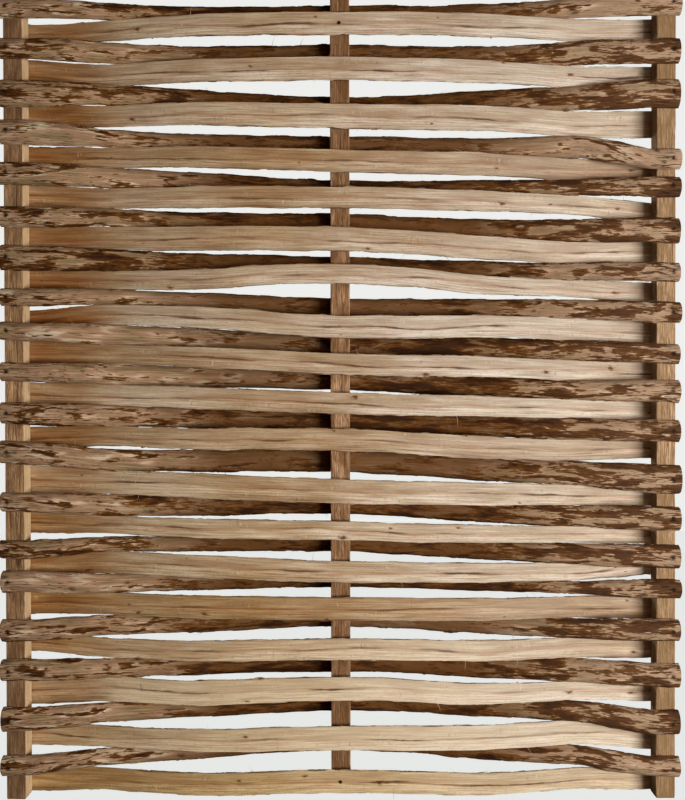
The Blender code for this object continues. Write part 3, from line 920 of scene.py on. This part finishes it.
def makePostTree():
    # A squared length of timber with worn edges, saw marks and drying cracks, all cut inwards
    tree, add, given = newShapeTree("sawnPost", {
        "Size": (0.03, 0.03, 1.0), "Centre": (0.0, 0.0, 0.0), "Across": sawnStock["acrossCells"] + 1,
        "Up": 400, "Edge Wear": sawnStock["edgeWear"], "Saw Marks": sawnStock["sawMarks"],
        "Check Depth": sawnStock["checkDepth"], "Wood": None})
    body = add("MeshCube", {
        "Size": (2.0, 2.0, 2.0), "Vertices X": given["Across"], "Vertices Y": given["Across"],
        "Vertices Z": given["Up"]})
    spot = add("InputPosition")
    parts = add("SeparateXYZ", spot)
    far = [add("Math", "ABSOLUTE", parts[axis]) for axis in range(3)]
    atSide = [add("Math", "GREATER_THAN", far[axis], 0.9999) for axis in range(3)]
    crowded = []
    for axis in range(2):
        room = add("Math", "SUBTRACT", 1.0, far[axis], use_clamp=True)
        room = add("Math", "POWER", room, sawnStock["crowding"])
        room = add("Math", "SUBTRACT", 1.0, room)
        sign = add("Math", "SIGN", parts[axis])
        crowded.append(add("Math", "MULTIPLY", room, sign))
    unit = add("CombineXYZ", *crowded, parts[2])
    half = add("VectorMath", "SCALE", {0: given["Size"], "Scale": 0.5})
    place = add("VectorMath", "MULTIPLY_ADD", unit, half, given["Centre"])
    sides = add("Math", "ADD", atSide[0], atSide[1])
    sides = add("Math", "ADD", sides, atSide[2])
    onEdge = add("Math", "GREATER_THAN", sides, 1.5)
    for label, value in (("weathered", atSide[1]), ("worn", onEdge)):
        body = add("StoreNamedAttribute", {"Geometry": body, "Name": label, "Value": value})
    body = add("SetPosition", {"Geometry": body, "Position": place})

    worn = add("InputNamedAttribute", "worn")
    chips = stretchedNoise(add, spot, sawnStock["chipSize"], 3.0, 0.6)
    chips = add("MapRange", chips, 0.35, 0.70, 0.4, 2.0)
    wear = add("Math", "MULTIPLY", chips, given["Edge Wear"])
    wear = add("Math", "MULTIPLY", wear, worn)
    saw = stretchedNoise(add, spot, sawnStock["sawSize"], 2.0)
    saw = add("Math", "MULTIPLY_ADD", saw, given["Saw Marks"], wear)
    checks = stretchedNoise(add, spot, sawnStock["checkSize"], 2.0)
    checks = add("MapRange", checks, 0.60, 0.72)
    sink = add("Math", "MULTIPLY_ADD", checks, given["Check Depth"], saw)
    sink = add("Math", "MULTIPLY", sink, -1.0)
    offset = add("VectorMath", "SCALE", {0: add("InputNormal"), "Scale": sink})
    body = add("SetPosition", {"Geometry": body, "Offset": offset})
    body = add("SetShadeSmooth", body)
    body = add("RealizeInstances", body)
    body = add("SetMaterial", {"Geometry": body, "Material": given["Wood"]})
    add("NodeGroupOutput", body)
    return tree


def makePosts():
    tree = makePostTree()
    for node, finish in postFinishes.items():
        low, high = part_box(node)
        size = high - low
        post = grow(node + "_timber", guideMesh(node + "Guide", []), tree, {
            "Size": tuple(size), "Centre": tuple((low + high) / 2),
            "Up": int(size.z / sawnStock["upSpacing"]),
            "Wood": makeSawnSpruce("sawnSpruce_" + node, *finish),
        }, sawnStock["sharpAngle"])
        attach(post, "root")
        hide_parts(node)


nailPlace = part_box("right_post")[1].x - nailShape["inset"]
makeRods(makeRodTree(nailPlace))
print("rods made")
makeNails(nailPlace)
makePosts()
print("nails and posts made")


# Studio

studio = dict(
    wallDistance=5.0,
    sweepRadius=1.2,
    sweepSteps=16,
    wallHeight=5.0,
    turns=72,
    paper="EEF0EE",
    sheen="9A9B9A",          # what the paper gives back of the panel's own lights
    glow=0.93,               # the paper is lit by itself, so it stays even behind the panel
    air=("F2C08A", 0.025),
)

softboxes = dict(
    keySoftbox=dict(place=(2.1, -2.3, 0.42), aim=(0, 0, 0.75), size=(1.6, 0.8), power=102, colour="FFF9F1"),
    frontFill=dict(place=(1.4, -3.2, 1.3), aim=(0, 0, 0.7), size=(1.6, 1.6), power=11, colour="FFCCA0"),
    backFill=dict(place=(-1.8, 2.7, 1.2), aim=(0, 0, 0.7), size=(1.8, 1.4), power=45, colour="FFF6EA"),
)


def makeStage():
    # A round cove of pale paper: floor, a curve, and a wall on every side
    radius, steps, turns = studio["sweepRadius"], studio["sweepSteps"], studio["turns"]
    floorReach = studio["wallDistance"] - radius
    profile = [(floorReach, 0.0)]
    for step in range(1, steps + 1):
        turn = math.pi / 2 * step / steps
        profile.append((floorReach + radius * math.sin(turn), radius * (1 - math.cos(turn))))
    profile.append((studio["wallDistance"], studio["wallHeight"]))
    points = []
    for reach, height in profile:
        for step in range(turns):
            turn = 2 * math.pi * step / turns
            points.append((reach * math.cos(turn), reach * math.sin(turn), height))
    faces = [tuple(range(turns))]
    for level in range(len(profile) - 1):
        for step in range(turns):
            here, beside = level * turns + step, level * turns + (step + 1) % turns
            faces.append((here, beside, beside + turns, here + turns))
    mesh = bpy.data.meshes.new("studioPaper")
    mesh.from_pydata(points, [], faces)
    mesh.shade_smooth()
    paper, add = newSurface("studioPaper")
    shader = add("BsdfPrincipled", {
        "Base Color": linearColour(studio["sheen"]), "Roughness": 0.9, "Specular IOR Level": 0.0,
        "Emission Color": linearColour(studio["paper"]), "Emission Strength": studio["glow"]})
    add("OutputMaterial", shader)
    mesh.materials.append(paper)
    sheet = bpy.data.objects.new("studioPaper", mesh)
    bpy.context.scene.collection.objects.link(sheet)
    sheet.visible_diffuse = False
    sheet.visible_glossy = False


def addSoftbox(name, place, aim, size, power, colour):
    light = bpy.data.lights.new(name, "AREA")
    light.shape = "RECTANGLE"
    light.size, light.size_y = size
    light.energy = power
    light.color = linearColour(colour)[:3]
    lamp = bpy.data.objects.new(name, light)
    lamp.location = place
    way = np.array(place) - np.array(aim)
    lamp.rotation_euler = (math.atan2(math.hypot(way[0], way[1]), way[2]), 0, math.atan2(way[0], -way[1]))
    lamp.visible_camera = False
    bpy.context.scene.collection.objects.link(lamp)


def lightStudio():
    for name, box in softboxes.items():
        addSoftbox(name, **box)
    world = bpy.data.worlds.new("studioAir")
    world.use_nodes = True
    air = world.node_tree.nodes["Background"].inputs
    air[0].default_value = linearColour(studio["air"][0])
    air[1].default_value = studio["air"][1]
    bpy.context.scene.world = world


# The camera stands where the photograph was taken from.  Its place and field of view were worked out from
# the posts' spacing, the width of their inner faces, and how far the rods shift between front and back.
viewpoint = dict(
    distance=1.75,
    sideways=0.045,
    height=0.7162,
    pitch=-0.0098,
    roll=0.0018,
    focalPixels=982.0,
    longSidePixels=800,
    shiftPixels=(23.1, 4.3),
)


def placeCamera():
    lens = bpy.data.cameras.new("photoCamera")
    lens.sensor_width = 36.0
    lens.lens = viewpoint["focalPixels"] * lens.sensor_width / viewpoint["longSidePixels"]
    lens.shift_x = -viewpoint["shiftPixels"][0] / viewpoint["longSidePixels"]
    lens.shift_y = viewpoint["shiftPixels"][1] / viewpoint["longSidePixels"]
    lens.clip_start = 0.05
    camera = bpy.data.objects.new("photoCamera", lens)
    camera.location = (viewpoint["sideways"], -viewpoint["distance"], viewpoint["height"])
    camera.rotation_euler = (math.pi / 2 + viewpoint["pitch"], viewpoint["roll"], 0)
    bpy.context.scene.collection.objects.link(camera)
    bpy.context.scene.camera = camera


makeStage()
lightStudio()
placeCamera()
bpy.context.scene.view_settings.view_transform = "Standard"
print("studio made")
